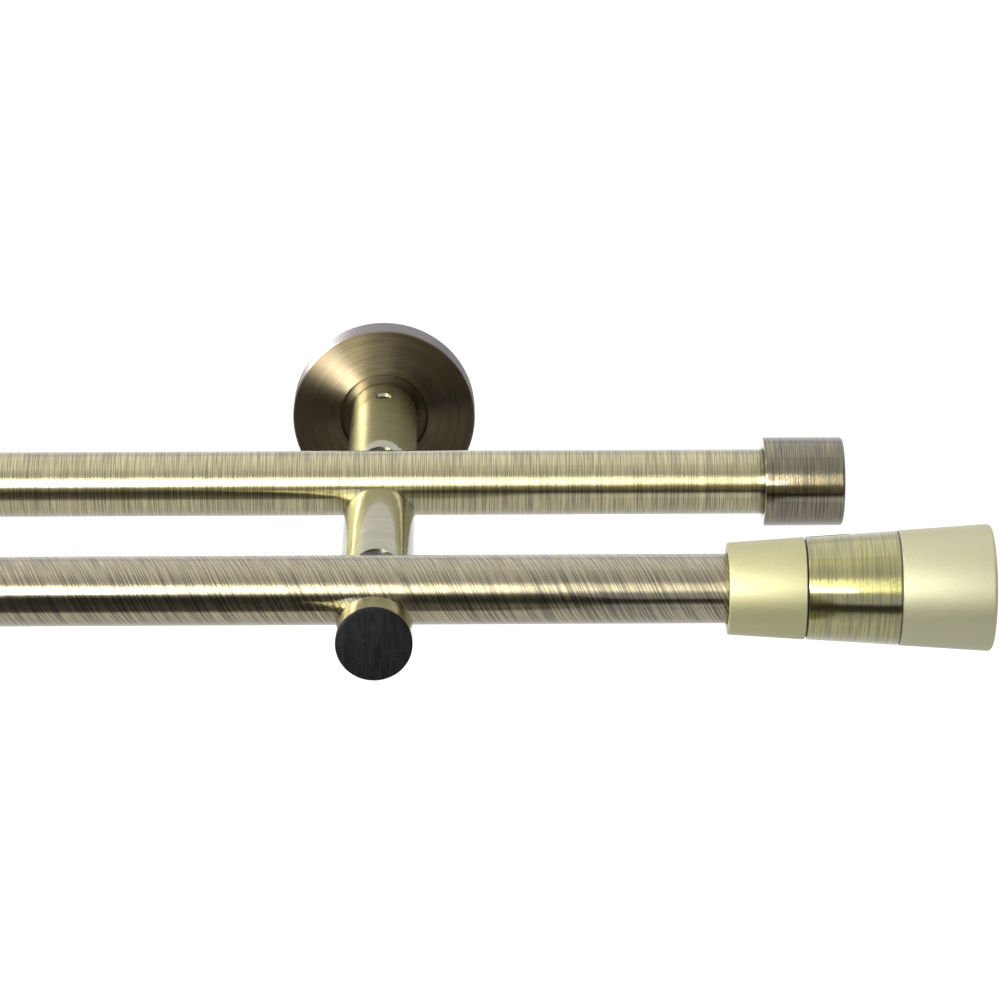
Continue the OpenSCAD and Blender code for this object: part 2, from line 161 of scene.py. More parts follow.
class BrushSizes(bpy.types.PropertyGroup):
    """Sizes of the brush lines and turning marks."""

    line: bpy.props.FloatProperty(
        name="Brush line", description="Width of a fine brush line",
        subtype="DISTANCE", unit="LENGTH", min=0.0001, max=0.002, default=0.00036)
    streak: bpy.props.FloatProperty(
        name="Streak", description="Width of a broad streak of brush lines",
        subtype="DISTANCE", unit="LENGTH", min=0.001, max=0.01, default=0.0030)
    line_length: bpy.props.FloatProperty(
        name="Line length", description="Length of a brush line",
        subtype="DISTANCE", unit="LENGTH", min=0.002, max=0.1, default=0.018)
    slant: bpy.props.FloatProperty(
        name="Slant", description="Angle of the front pole's brush lines to a plain hoop",
        subtype="ANGLE", unit="ROTATION", min=0, max=1.2, default=math.radians(25))
    turning: bpy.props.FloatProperty(
        name="Turning mark", description="Width of a turning mark on a rose",
        subtype="DISTANCE", unit="LENGTH", min=0.0001, max=0.002, default=0.00030)


class PieceSizes(bpy.types.PropertyGroup):
    """Sizes of the turned pieces that the frame's boxes don't give."""

    pole_wall: bpy.props.FloatProperty(
        name="Pole wall", description="Wall of the pole tubes",
        subtype="DISTANCE", unit="LENGTH", min=0.0008, max=0.002, default=0.001)
    mouth_gap: bpy.props.FloatProperty(
        name="Mouth gap", description="Gap round a pole at the mouth of a cap or finial",
        subtype="DISTANCE", unit="LENGTH", min=0.0001, max=0.001, default=0.00035)
    stub: bpy.props.FloatProperty(
        name="Insert stub", description="Radius of the recess for the cap insert's stub",
        subtype="DISTANCE", unit="LENGTH", min=0.003, max=0.009, default=0.0067)
    stub_depth: bpy.props.FloatProperty(
        name="Stub depth", description="Depth of the recess for the cap insert's stub",
        subtype="DISTANCE", unit="LENGTH", min=0.001, max=0.004, default=0.00235)
    seam: bpy.props.FloatProperty(
        name="Seam", description="Width of the groove between two bands",
        subtype="DISTANCE", unit="LENGTH", min=0.0001, max=0.001, default=0.0004)
    seam_depth: bpy.props.FloatProperty(
        name="Seam depth", description="Depth of the groove between two bands",
        subtype="DISTANCE", unit="LENGTH", min=0.0002, max=0.002, default=0.0008)
    stud: bpy.props.FloatProperty(
        name="Stud hole", description="Radius of the wide band's hole for the core's stud",
        subtype="DISTANCE", unit="LENGTH", min=0.003, max=0.008, default=0.0051)
    stud_length: bpy.props.FloatProperty(
        name="Stud length", description="Length of the core's stud",
        subtype="DISTANCE", unit="LENGTH", min=0.005, max=0.015, default=0.012)
    fit: bpy.props.FloatProperty(
        name="Fit", description="Clearance of a piece that slides into another",
        subtype="DISTANCE", unit="LENGTH", min=0.00005, max=0.0005, default=0.0001)
    rose_wall: bpy.props.FloatProperty(
        name="Rose wall", description="Wall of the rose's rim and face",
        subtype="DISTANCE", unit="LENGTH", min=0.001, max=0.002, default=0.0015)
    rose_dish: bpy.props.FloatProperty(
        name="Rose dish", description="Fall of the dished face from its edge to the ring",
        subtype="DISTANCE", unit="LENGTH", min=0.0005, max=0.0015, default=0.0013)
    rose_ring: bpy.props.FloatProperty(
        name="Rose ring", description="Radius of the turned ring round the arm",
        subtype="DISTANCE", unit="LENGTH", min=0.012, max=0.02, default=0.0147)
    rose_step: bpy.props.FloatProperty(
        name="Rose step", description="Depth of the recess inside the turned ring",
        subtype="DISTANCE", unit="LENGTH", min=0.0002, max=0.001, default=0.0008)
    plug_face: bpy.props.FloatProperty(
        name="Plug face", description="Thickness of the end plug's face",
        subtype="DISTANCE", unit="LENGTH", min=0.001, max=0.003, default=0.0015)
    plug_wall: bpy.props.FloatProperty(
        name="Plug wall", description="Wall of the end plug's spigot",
        subtype="DISTANCE", unit="LENGTH", min=0.001, max=0.0025, default=0.0016)
    arm_wall: bpy.props.FloatProperty(
        name="Arm wall", description="Wall of the arm tube",
        subtype="DISTANCE", unit="LENGTH", min=0.0015, max=0.0025, default=0.002)
    shank: bpy.props.FloatProperty(
        name="Screw shank", description="Radius of a block screw's shank",
        subtype="DISTANCE", unit="LENGTH", min=0.002, max=0.003, default=0.0025)
    thread: bpy.props.FloatProperty(
        name="Thread", description="Pitch of a block screw's thread",
        subtype="DISTANCE", unit="LENGTH", min=0.0005, max=0.0012, default=0.0008)


class StageSizes(bpy.types.PropertyGroup):
    """Camera, floor and lights."""

    camera: bpy.props.FloatVectorProperty(
        name="Camera", description="Place of the camera",
        subtype="TRANSLATION", unit="LENGTH", default=(0.2023, -1.2781, 0.4205))
    yaw: bpy.props.FloatProperty(
        name="Yaw", description="Turn of the camera to the right of straight at the wall",
        subtype="ANGLE", unit="ROTATION", default=math.radians(0.72))
    tilt: bpy.props.FloatProperty(
        name="Tilt", description="Tilt of the camera below the horizon",
        subtype="ANGLE", unit="ROTATION", default=math.radians(19.5))
    lens: bpy.props.FloatProperty(
        name="Lens", description="Focal length",
        unit="CAMERA", min=20, max=400, default=145.8)
    floor_drop: bpy.props.FloatProperty(
        name="Floor drop", description="Distance of the floor below the arms",
        subtype="DISTANCE", unit="LENGTH", min=0.1, max=3, default=1.3)
    floor_size: bpy.props.FloatProperty(
        name="Floor size", description="Side of the floor",
        subtype="DISTANCE", unit="LENGTH", min=2, max=40, default=16)
    lamp_distance: bpy.props.FloatProperty(
        name="Lamp distance", description="Distance of the lamps from the poles",
        subtype="DISTANCE", unit="LENGTH", min=0.5, max=4, default=2.0)
    front_power: bpy.props.FloatProperty(
        name="Front power", description="Power of the long low softbox in front",
        unit="POWER", min=0, max=400, default=21.0)
    key_power: bpy.props.FloatProperty(
        name="Key power", description="Power of the softbox in front, to the left",
        unit="POWER", min=0, max=400, default=11.0)
    upper_power: bpy.props.FloatProperty(
        name="Upper power", description="Power of the long softbox above the front one",
        unit="POWER", min=0, max=400, default=1.3)
    rose_power: bpy.props.FloatProperty(
        name="Rose power", description="Power of the small softbox, with a grid, for the right wall rose",
        unit="POWER", min=0, max=400, default=1.3)
    side_power: bpy.props.FloatProperty(
        name="Side power", description="Power of the softbox at the left that the arms show as a streak",
        unit="POWER", min=0, max=400, default=8.0)
    back_power: bpy.props.FloatProperty(
        name="Back power", description="Power of the large softbox above and behind",
        unit="POWER", min=0, max=400, default=9.0)
    low_dark: bpy.props.FloatProperty(
        name="Low dark", description="Share of the floor's light that the low scrims take out of reflections",
        subtype="FACTOR", min=0, max=1, default=0.38)
    card_gap: bpy.props.FloatProperty(
        name="Card gap", description="Distance of the dark card from the front pole",
        subtype="DISTANCE", unit="LENGTH", min=0.05, max=1, default=0.135)
    card_top: bpy.props.FloatProperty(
        name="Card top", description="Height of the dark card's top above the poles",
        subtype="DISTANCE", unit="LENGTH", min=-0.2, max=0.2, default=0.034)
    card_foot: bpy.props.FloatProperty(
        name="Card foot", description="Height of the dark card's lower edge",
        subtype="DISTANCE", unit="LENGTH", min=-1, max=0, default=-0.190)
    card_step: bpy.props.FloatProperty(
        name="Card step", description="Fall of the dark card's top towards the caps and finials",
        subtype="DISTANCE", unit="LENGTH", min=0, max=0.1, default=0.045)
    card_fade: bpy.props.FloatProperty(
        name="Card fade", description="Width of the dark card's soft edge",
        subtype="DISTANCE", unit="LENGTH", min=0.001, max=0.1, default=0.018)
    pool_radius: bpy.props.FloatProperty(
        name="Pool radius", description="Radius of the dark pool on the floor",
        subtype="DISTANCE", unit="LENGTH", min=0.5, max=6, default=2.0)


class Nodes:
    """A node tree while it is made."""

    def __init__(self, owner):
        owner.use_nodes = True
        self.tree = owner.node_tree
        self.tree.nodes.clear()

    def feed(self, target, value):
        """Links a socket to an input, or writes a plain value on it."""
        if isinstance(value, bpy.types.NodeSocket):
            self.tree.links.new(value, target)
        else:
            target.default_value = value

    def node(self, kind, settings=(), **inputs):
        """Adds a node, sets its options and feeds its inputs by name."""
        made = self.tree.nodes.new(kind)
        for name, value in dict(settings).items():
            setattr(made, name, value)
        for name, value in inputs.items():
            self.feed(made.inputs[name.replace("_", " ")], value)
        return made

    def math(self, operation, *values):
        """One sum of a Math node."""
        made = self.node("ShaderNodeMath", {"operation": operation})
        for target, value in zip(made.inputs, values):
            self.feed(target, value)
        return made.outputs["Value"]

    def spread(self, value, low, high, to_low, to_high):
        """Maps a value from one range to another and clamps it there."""
        made = self.node("ShaderNodeMapRange", Value=value, From_Min=low, From_Max=high,
                         To_Min=to_low, To_Max=to_high)
        return made.outputs["Result"]

    def find_place(self):
        """Reads a point's place in the object, whole and in its three parts."""
        self.place = self.node("ShaderNodeTexCoord").outputs["Object"]
        self.x, self.y, self.z = self.node("ShaderNodeSeparateXYZ", Vector=self.place).outputs

    def mixed(self, share, first, second):
        """A mix of two shaders."""
        made = self.node("ShaderNodeMixShader", Fac=share)
        self.feed(made.inputs[1], first)
        self.feed(made.inputs[2], second)
        return made.outputs["Shader"]


class Finish(Nodes):
    """A piece's material: one Principled shader, and the nodes that feed it."""

    def __init__(self, name, metallic=1.0):
        self.material = bpy.data.materials.new(name)
        super().__init__(self.material)
        self.shader = self.node("ShaderNodeBsdfPrincipled", Metallic=metallic)
        self.node("ShaderNodeOutputMaterial", Surface=self.shader.outputs["BSDF"])
        self.find_place()

    def noise(self, vector, detail, roughness=0.6):
        """Noise from 0 to 1 at the vector's own scale."""
        made = self.node("ShaderNodeTexNoise", Vector=vector, Scale=1.0, Detail=detail, Roughness=roughness)
        return made.outputs["Fac"]

    def speckle(self, scale, detail):
        """Noise with its own number of grains in a metre along each axis."""
        made = self.node("ShaderNodeMapping", Vector=self.place, Scale=scale)
        return self.noise(made.outputs["Vector"], detail)

    def drawn_lines(self, places, sizes, detail=2.0, roughness=0.5):
        """Noise drawn out into lines: each of three places is measured in its own size."""
        scaled = [self.math("MULTIPLY", place, 1 / size) for place, size in zip(places, sizes)]
        made = self.node("ShaderNodeCombineXYZ", **dict(zip("XYZ", scaled)))
        return self.noise(made.outputs["Vector"], detail, roughness)

    def shade(self, colour, factor):
        """A colour made lighter or darker by a factor."""
        made = self.node("ShaderNodeVectorMath", {"operation": "SCALE"}, Scale=factor)
        self.feed(made.inputs[0], colour)
        return made.outputs["Vector"]

    def blend(self, factor, first, second):
        """A mix of two plain colours or colour sockets."""
        made = self.node("ShaderNodeMix", {"data_type": "RGBA"})
        self.feed(made.inputs["Factor"], factor)
        for name, value in (("A", first), ("B", second)):
            target = [s for s in made.inputs if s.name == name and s.type == "RGBA"][0]
            self.feed(target, value if isinstance(value, bpy.types.NodeSocket) else (*value, 1.0))
        return [s for s in made.outputs if s.type == "RGBA"][0]

    def surface(self, colour, rough):
        """Feeds the shader's colour and roughness."""
        self.feed(self.shader.inputs["Base Color"], colour)
        self.feed(self.shader.inputs["Roughness"], rough)

    def bump(self, height, distance):
        """Relief of the surface, as a distance in metres."""
        made = self.node("ShaderNodeBump", Height=height, Distance=distance, Strength=1.0)
        self.feed(self.shader.inputs["Normal"], made.outputs["Normal"])

    def lacquer(self, weight, roughness, index=1.5):
        """A clear lacquer over the metal."""
        self.shader.inputs["Coat Weight"].default_value = weight
        self.shader.inputs["Coat Roughness"].default_value = roughness
        self.shader.inputs["Coat IOR"].default_value = index

    def grain(self, axis, amount):
        """Stretches the gloss across brush lines that run round an axis."""
        tangent = self.node("ShaderNodeTangent", {"direction_type": "RADIAL", "axis": axis})
        self.feed(self.shader.inputs["Tangent"], tangent.outputs["Tangent"])
        self.shader.inputs["Anisotropic"].default_value = amount
        self.shader.inputs["Anisotropic Rotation"].default_value = 0.25


def smooth_step(finish, value, low, high):
    """A soft switch from 0 to 1 between two values."""
    made = finish.node("ShaderNodeMapRange", {"interpolation_type": "SMOOTHSTEP"},
                       Value=value, From_Min=low, From_Max=high, To_Min=0.0, To_Max=1.0)
    return made.outputs["Result"]


def hoop_lines(finish, across, width, length):
    """Brush lines round a pole: fine in the direction across, long round the tube."""
    return finish.drawn_lines((across, finish.y, finish.z), (width, length, length))


def brushed(finish, colour, lines, streaks, contrast, rough, groove=None):
    """Feeds colour, roughness and relief of brushed metal from its fine lines and broad streaks, darkened by
    painted shade in a band's seam where a groove factor is given.
    """
    fine = finish.spread(lines, *LINE_RANGE, 1 + contrast, 1 - contrast)
    broad = finish.spread(streaks, *STREAK_RANGE, 1 + STREAK_SHADE, 1 - STREAK_SHADE)
    light = finish.math("MULTIPLY", fine, broad)
    # The groove factor is painted shade: it darkens the bottom of a band's seam, where shade falls.
    if groove:
        light = finish.math("MULTIPLY", light, groove)
    finish.surface(finish.shade(colour, light), finish.spread(lines, *LINE_RANGE, *rough))
    finish.bump(lines, RELIEF)


def painted_seam_shade(finish, scene, end):
    """A factor of painted shade that darkens the bottom of the seam at the end of a band."""
    half = scene.pole_pieces.seam / 2
    inside = finish.math("COMPARE", finish.math("ABSOLUTE", finish.x), end - half, half * 0.98)
    return finish.spread(inside, 0.0, 1.0, 1.0, 0.03)


def hooped_finish(name, scene, colour, contrast, rough, index=1.75, seam_end=None):
    """Lacquered brass, brushed round a piece that lies along x, with painted shade in the seam where a band
    has one.
    """
    brush = scene.pole_brush
    finish = Finish(name)
    patterns = [hoop_lines(finish, finish.x, width, brush.line_length) for width in (brush.line, brush.streak)]
    # Painted shade in the band's seam.
    groove = painted_seam_shade(finish, scene, seam_end) if seam_end else None
    brushed(finish, colour, *patterns, contrast, rough, groove)
    finish.grain("X", 1.0)
    finish.lacquer(1.0, 0.10, index)
    return finish.material


def slanted(finish, brush, flip):
    """Distance across slanted brush lines, from an angle whose seam lies behind or in front."""
    y = finish.math("MULTIPLY", finish.math("SUBTRACT", finish.y, FRONT_AXIS.y), flip)
    z = finish.math("MULTIPLY", finish.math("SUBTRACT", finish.z, FRONT_AXIS.z), flip)
    angle = finish.math("ARCTAN2", z, finish.math("MULTIPLY", y, -1.0))
    climb = finish.math("MULTIPLY", angle, POLE_RADIUS * math.tan(brush.slant))
    shifted = finish.math("ADD", finish.x, climb)
    return finish.math("MULTIPLY", shifted, math.cos(brush.slant))


def front_pole_finish(scene):
    """Greyer antique brass brushed on a slant, with its seam always on the far side."""
    brush = scene.pole_brush
    finish = Finish("front_brushed_brass")
    front, back = slanted(finish, brush, 1.0), slanted(finish, brush, -1.0)
    behind = smooth_step(finish, finish.y, FRONT_AXIS.y - POLE_RADIUS / 3, FRONT_AXIS.y + POLE_RADIUS / 3)
    patterns = []
    for width in (brush.line, brush.streak):
        made = finish.node("ShaderNodeMix", {"data_type": "FLOAT"})
        finish.feed(made.inputs["Factor"], behind)
        finish.feed(made.inputs[2], hoop_lines(finish, front, width, brush.line_length))
        finish.feed(made.inputs[3], hoop_lines(finish, back, width, brush.line_length))
        patterns.append(made.outputs[0])
    brushed(finish, scene.pole_brass.front_pole, *patterns, 0.58, (0.28, 0.34))
    finish.grain("X", 1.0)
    finish.lacquer(1.0, 0.10, 1.75)
    return finish.material


def from_arm(finish):
    """Distance of a point from the axis of its own bracket's arm."""
    side = finish.math("SUBTRACT", finish.math("ABSOLUTE", finish.x), BRACKET_X)
    squares = [finish.math("MULTIPLY", part, part) for part in (side, finish.z)]
    return side, finish.math("SQRT", finish.math("ADD", *squares))


def rose_finish(scene):
    """Antique brass with fine turning marks about the arm, and a paler, greyer rim whose colour is a painted
    sheen.
    """
    brush, brass = scene.pole_brush, scene.pole_brass
    finish = Finish("turned_brass")
    side, radius = from_arm(finish)
    out = finish.math("ADD", radius, finish.y)
    patterns = [
        finish.drawn_lines((out, side, finish.z), (width, brush.line_length, brush.line_length), 3.0, 0.6)
        for width in (brush.turning, brush.streak)]
    brushed(finish, brass.rose, *patterns, 0.15, (0.34, 0.40))
    face = finish.shader.inputs["Base Color"]
    # Painted sheen: the rim's paler, greyer colour stands in for its pale reflection.
    rim = smooth_step(finish, radius, 0.985 * ROSE_RADIUS, 0.995 * ROSE_RADIUS)
    finish.feed(face, finish.blend(rim, face.links[0].from_socket, tuple(brass.rose_rim_sheen)))
    finish.grain("Y", 1.0)
    return finish.material


def arm_finish(scene):
    """Antique brass of the arms, finely brushed round the tube."""
    brush = scene.pole_brush
    finish = Finish("polished_brass")
    side, _ = from_arm(finish)
    patterns = [
        finish.drawn_lines((side, finish.y, finish.z), (brush.line_length, width, brush.line_length))
        for width in (brush.line, brush.streak)]
    brushed(finish, scene.pole_brass.arm, *patterns, 0.12, (0.28, 0.34))
    finish.grain("Y", 1.0)
    finish.lacquer(1.0, 0.03, 2.0)
    return finish.material


def satin_finish(scene):
    """Pale satin brass with a fine speckle and soft dents, a little paler on the wide band, and painted shade
    in the narrow band's seam.
    """
    brass = scene.pole_brass
    finish = Finish("satin_brass")
    speckle = finish.speckle((1600, 1600, 1600), 2.0)
    dents = finish.speckle((320, 620, 620), 3.0)
    outer = smooth_step(finish, finish.math("ABSOLUTE", finish.x), MIDDLE_LOW.x, WIDE_LOW.x)
    # The speckle's factor is multiplied by painted shade in the narrow band's seam.
    light = finish.math("MULTIPLY", finish.spread(speckle, 0.3, 0.7, 0.95, 1.05),
                        painted_seam_shade(finish, scene, NARROW_HIGH.x))
    pale = finish.blend(outer, tuple(brass.narrow_band), tuple(brass.wide_band))
    finish.surface(finish.shade(pale, light), finish.spread(speckle, 0.3, 0.7, 0.60, 0.66))
    height = finish.math("ADD", finish.math("MULTIPLY", dents, 0.8), finish.math("MULTIPLY", speckle, 0.2))
    finish.bump(height, 0.00005)
    finish.grain("X", 0.3)
    finish.lacquer(0.5, 0.35)
    return finish.material


def plain_finish(name, colour, metallic, rough, grain_size):
    """A plain cast, plated or moulded surface with a fine even grain."""
    finish = Finish(name, metallic)
    grain = finish.speckle((1 / grain_size,) * 3, 4.0)
    finish.surface(finish.shade(colour, finish.spread(grain, 0.3, 0.7, 0.85, 1.15)),
                   finish.spread(grain, 0.3, 0.7, rough - 0.05, rough + 0.08))
    finish.bump(grain, grain_size / 40)
    return finish.material


def plug_finish(colour):
    """Matt black plastic with faint upright scuffs and a few worn specks."""
    finish = Finish("black_plastic", 0.0)
    scuffs = finish.speckle((1500, 900, 160), 4.0)
    worn = finish.spread(finish.speckle((1300, 1300, 1300), 2.0), 0.73, 0.78, 0.0, 0.35)
    base = finish.shade(colour, finish.spread(scuffs, 0.4, 0.7, 0.7, 2.2))
    finish.surface(finish.blend(worn, base, (0.30, 0.29, 0.29)), finish.spread(scuffs, 0.3, 0.7, 0.42, 0.60))
    finish.shader.inputs["Specular IOR Level"].default_value = 0.08
    finish.bump(scuffs, 0.00002)
    return finish.material


def make_finishes(scene):
    """Every finish, by its slot in the record."""
    brass, plain = scene.pole_brass, scene.pole_plain
    hooped = {
        "rear_brushed_brass": (brass.rear_pole, 0.40, (0.28, 0.34)),
        "cap_brass": (brass.cap, 0.60, (0.26, 0.32)),
        "dark_band_brass": (brass.dark_band, 0.30, (0.26, 0.32), 1.9, MIDDLE_HIGH.x),
    }
    even = {
        "plate_steel": (plain.steel, 1.0, 0.32, 0.0006),
        "zinc_screw": (plain.screw, 1.0, 0.48, 0.0005),
        "cast_zinc": (plain.casting, 1.0, 0.45, 0.0008),
        "pale_plastic": (plain.insert, 0.0, 0.45, 0.0006),
    }
    return {
        "front_brushed_brass": front_pole_finish(scene),
        "turned_brass": rose_finish(scene),
        "polished_brass": arm_finish(scene),
        "satin_brass": satin_finish(scene),
        "black_plastic": plug_finish(plain.plug),
        **{name: hooped_finish(name, scene, *values) for name, values in hooped.items()},
        **{name: plain_finish(name, *values) for name, values in even.items()},
    }


def start_clean():
    """Leaves edit mode and deselects everything."""
    if bpy.context.mode != "OBJECT":
        bpy.ops.object.mode_set(mode="OBJECT")
    bpy.ops.object.select_all(action="DESELECT")


AXES = {
    "X": (Vector((1, 0, 0)), (0, math.pi / 2, 0)),
    "Y": (Vector((0, 1, 0)), (math.pi / 2, 0, 0)),
    "Z": (Vector((0, 0, 1)), (0, 0, 0)),
}


def turn(name, axis, centre, rings, bored, steps=128):
    """Turns a piece: a ring or a disc is extruded, moved and resized through each radius and place."""
    start_clean()
    along, lie = AXES[axis]
    foot = centre - along * centre.dot(along)
    radius, place = rings[0]
    bpy.ops.mesh.primitive_circle_add(
        vertices=steps, radius=radius, fill_type="NOTHING" if bored else "TRIFAN",
        location=foot + along * place, rotation=lie)
    piece = bpy.context.object
    piece.name = piece.data.name = name
    bpy.ops.object.mode_set(mode="EDIT")
    bpy.ops.mesh.select_all(action="SELECT")
    for next_radius, next_place in rings[1:] + (rings[:1] if bored else []):
        bpy.ops.mesh.extrude_region_move(TRANSFORM_OT_translate={"value": along * (next_place - place)})
        share = next_radius / radius
        bpy.ops.transform.resize(value=(share, share, share), center_override=foot + along * next_place)
        radius, place = next_radius, next_place
    bpy.ops.mesh.select_all(action="SELECT")
    bpy.ops.mesh.remove_doubles(threshold=SAME_POINT)
    bpy.ops.mesh.normals_make_consistent(inside=False)
    bpy.ops.mesh.select_all(action="DESELECT")
    bpy.ops.object.mode_set(mode="OBJECT")
    bpy.ops.object.transform_apply(location=True, rotation=True, scale=True)
    return piece


def round_rim(piece, axis, centre, ring, width, segments=4):
    """Rounds the edge that runs round the axis at one radius and place."""
    along = AXES[axis][0]
    mesh = piece.data
    on_rim = []
    for vertex in mesh.vertices:
        place = vertex.co.dot(along)
        out = (vertex.co - centre - along * (place - centre.dot(along))).length
        on_rim.append(max(abs(place - ring[1]), abs(out - ring[0])) < SAME_PLACE)
    start_clean()
    bpy.context.view_layer.objects.active = piece
    piece.select_set(True)
    for part in (*mesh.vertices, *mesh.edges, *mesh.polygons):
        part.select = False
    for edge in mesh.edges:
        edge.select = on_rim[edge.vertices[0]] and on_rim[edge.vertices[1]]
    if not any(edge.select for edge in mesh.edges):
        raise RuntimeError(f"{piece.name} has no edge at {ring}")
    bpy.ops.object.mode_set(mode="EDIT")
    bpy.ops.mesh.select_mode(type="EDGE")
    bpy.ops.mesh.bevel(offset=width, segments=segments, affect="EDGES")
    bpy.ops.object.mode_set(mode="OBJECT")


def complete(piece, node):
    """Smooths a finished piece, gives it the node's finish and ties it to the frame in the node's place."""
    start_clean()
    bpy.context.view_layer.objects.active = piece
    piece.select_set(True)
    bpy.ops.object.shade_smooth_by_angle(angle=SMOOTH_ANGLE)
    piece.data.materials.clear()
    piece.data.materials.append(frame["nodes"][node].data.materials[0])
    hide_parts(node)
    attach(piece, BODY)


def copy_of(piece, name):
    """A copy of a piece with its own mesh, ready to be moved or mirrored."""
    start_clean()
    bpy.context.view_layer.objects.active = piece
    piece.select_set(True)
    bpy.ops.object.duplicate(linked=False)
    twin = bpy.context.object
    twin.name = twin.data.name = name
    bpy.ops.object.mode_set(mode="EDIT")
    bpy.ops.mesh.select_all(action="SELECT")
    return twin


def mirrored(piece, name):
    """A copy of a right end piece for the left end."""
    twin = copy_of(piece, name)
    bpy.ops.transform.resize(value=(-1, 1, 1), center_override=(0, 0, 0))
    bpy.ops.mesh.normals_make_consistent(inside=False)
    bpy.ops.object.mode_set(mode="OBJECT")
    return twin


def moved(piece, name, way):
    """A copy of a piece, moved as a whole."""
    twin = copy_of(piece, name)
    bpy.ops.transform.translate(value=way)
    bpy.ops.object.mode_set(mode="OBJECT")
    return twin


class CURTAINPOLE_OT_poles(bpy.types.Operator):
    """Turn the two tubes of the poles"""

    bl_idname = "curtain_pole.poles"
    bl_label = "Model the poles"

    def execute(self, context):
        sizes = context.scene.pole_pieces
        for node, low, high in (("rear_pole", REAR_LOW, REAR_HIGH), ("front_pole", FRONT_LOW, FRONT_HIGH)):
            centre = (low + high) / 2
            bore = POLE_RADIUS - sizes.pole_wall
            rings = [(POLE_RADIUS, low.x), (POLE_RADIUS, high.x), (bore, high.x), (bore, low.x)]
            pole = turn(f"{node}_tube", "X", centre, rings, bored=True)
            for ring in rings:
                round_rim(pole, "X", centre, ring, 0.0002, segments=2)
            complete(pole, node)
        return {"FINISHED"}


class CURTAINPOLE_OT_caps(bpy.types.Operator):
    """Turn the two caps of the rear pole"""

    bl_idname = "curtain_pole.caps"
    bl_label = "Model the caps"

    def execute(self, context):
        sizes = context.scene.pole_pieces
        outside = (CAP_HIGH.z - CAP_LOW.z) / 2
        mouth = POLE_RADIUS + sizes.mouth_gap
        floor = INSERT_HIGH.x - sizes.stub_depth + sizes.fit
        rings = [(outside, CAP_HIGH.x), (outside, CAP_LOW.x), (mouth, CAP_LOW.x), (mouth, floor),
                 (sizes.stub, floor), (sizes.stub, INSERT_HIGH.x + sizes.fit)]
        cap = turn("right_turned_cap", "X", REAR_AXIS, rings, bored=False)
        round_rim(cap, "X", REAR_AXIS, rings[0], 0.0009)
        round_rim(cap, "X", REAR_AXIS, rings[1], 0.0005)
        round_rim(cap, "X", REAR_AXIS, rings[2], 0.0002, segments=2)
        complete(cap, "right_cap")
        complete(mirrored(cap, "left_turned_cap"), "left_cap")
        return {"FINISHED"}


class CURTAINPOLE_OT_finials(bpy.types.Operator):
    """Turn the three bands of each finial of the front pole"""

    bl_idname = "curtain_pole.finials"
    bl_label = "Model the finials"

    def execute(self, context):
        sizes = context.scene.pole_pieces
        widest = (WIDE_HIGH.z - WIDE_LOW.z) / 2
        at_seam = (NARROW_HIGH.z - NARROW_LOW.z) / 2
        slope = (widest - at_seam) / (WIDE_HIGH.x - (NARROW_HIGH.x - sizes.seam))
        bore = (CORE_HIGH.z - CORE_LOW.z) / 2 + sizes.fit
        mouth = POLE_RADIUS + sizes.mouth_gap

        def outside(x):
            return widest - slope * (WIDE_HIGH.x - x)

        bands = {}
        start, end = NARROW_LOW.x, NARROW_HIGH.x
        seam = end - sizes.seam
        lip = CORE_LOW.x - sizes.fit
        bands["narrow"] = ([
            (outside(start), start), (outside(seam), seam), (outside(seam) - sizes.seam_depth, seam),
            (outside(seam) - sizes.seam_depth, end), (bore, end), (bore, lip), (mouth, lip), (mouth, start)],
            True, (0.0005, 0.00035))
        start, end = MIDDLE_LOW.x, MIDDLE_HIGH.x
        seam = end - sizes.seam
        bands["middle"] = ([
            (outside(start), start), (outside(seam), seam), (outside(seam) - sizes.seam_depth, seam),
            (outside(seam) - sizes.seam_depth, end), (bore, end), (bore, start)],
            True, (0.00035, 0.00035))
        start, end = WIDE_LOW.x, WIDE_HIGH.x
        face = CORE_HIGH.x - sizes.stud_length + sizes.fit
        bands["wide"] = ([
            (outside(end), end), (outside(start), start), (bore, start), (bore, face),
            (sizes.stud, face), (sizes.stud, CORE_HIGH.x + sizes.fit)],
            False, (0.0012, 0.00035))
        for name, (rings, bored, edges) in bands.items():
            node = f"{name}_band"
            band = turn(f"right_turned_{node}", "X", FRONT_AXIS, rings, bored)
            for ring, width in zip(rings, edges):
                round_rim(band, "X", FRONT_AXIS, ring, width)
            complete(band, f"right_{node}")
            complete(mirrored(band, f"left_turned_{node}"), f"left_{node}")
        return {"FINISHED"}


class CURTAINPOLE_OT_roses(bpy.types.Operator):
    """Turn the dished wall roses with their rings"""

    bl_idname = "curtain_pole.roses"
    bl_label = "Model the roses"

    def execute(self, context):
        sizes = context.scene.pole_pieces
        rim = ROSE_RADIUS - ROSE_INSET
        bore = (ARM_HIGH.z - ARM_LOW.z) / 2 + 1.5 * sizes.fit
        front, wall = ROSE_LOW.y, ROSE_HIGH.y
        ring, dish = sizes.rose_ring, front + sizes.rose_dish
        hub = dish + sizes.rose_step
        inner = hub + sizes.rose_wall
        bead = 0.0003
        rings = [(rim, wall), (rim, front), (ring + bead, dish), (ring, dish - bead / 2), (ring - bead, dish),
                 (ring - 2 * bead, hub), (bore, hub), (bore, inner),
                 (rim - sizes.rose_wall, inner), (rim - sizes.rose_wall, wall)]
        centre = Vector((BRACKET_X, 0, ARM_AXIS.z))
        rose = turn("right_turned_rose", "Y", centre, rings, bored=True, steps=160)
        round_rim(rose, "Y", centre, rings[1], 0.0006)
        round_rim(rose, "Y", centre, rings[3], 0.00012, segments=2)
        round_rim(rose, "Y", centre, rings[6], 0.0002, segments=2)
        complete(rose, "right_rose")
        twin = moved(rose, "left_turned_rose", (-2 * BRACKET_X, 0, 0))
        complete(twin, "left_rose")
        return {"FINISHED"}


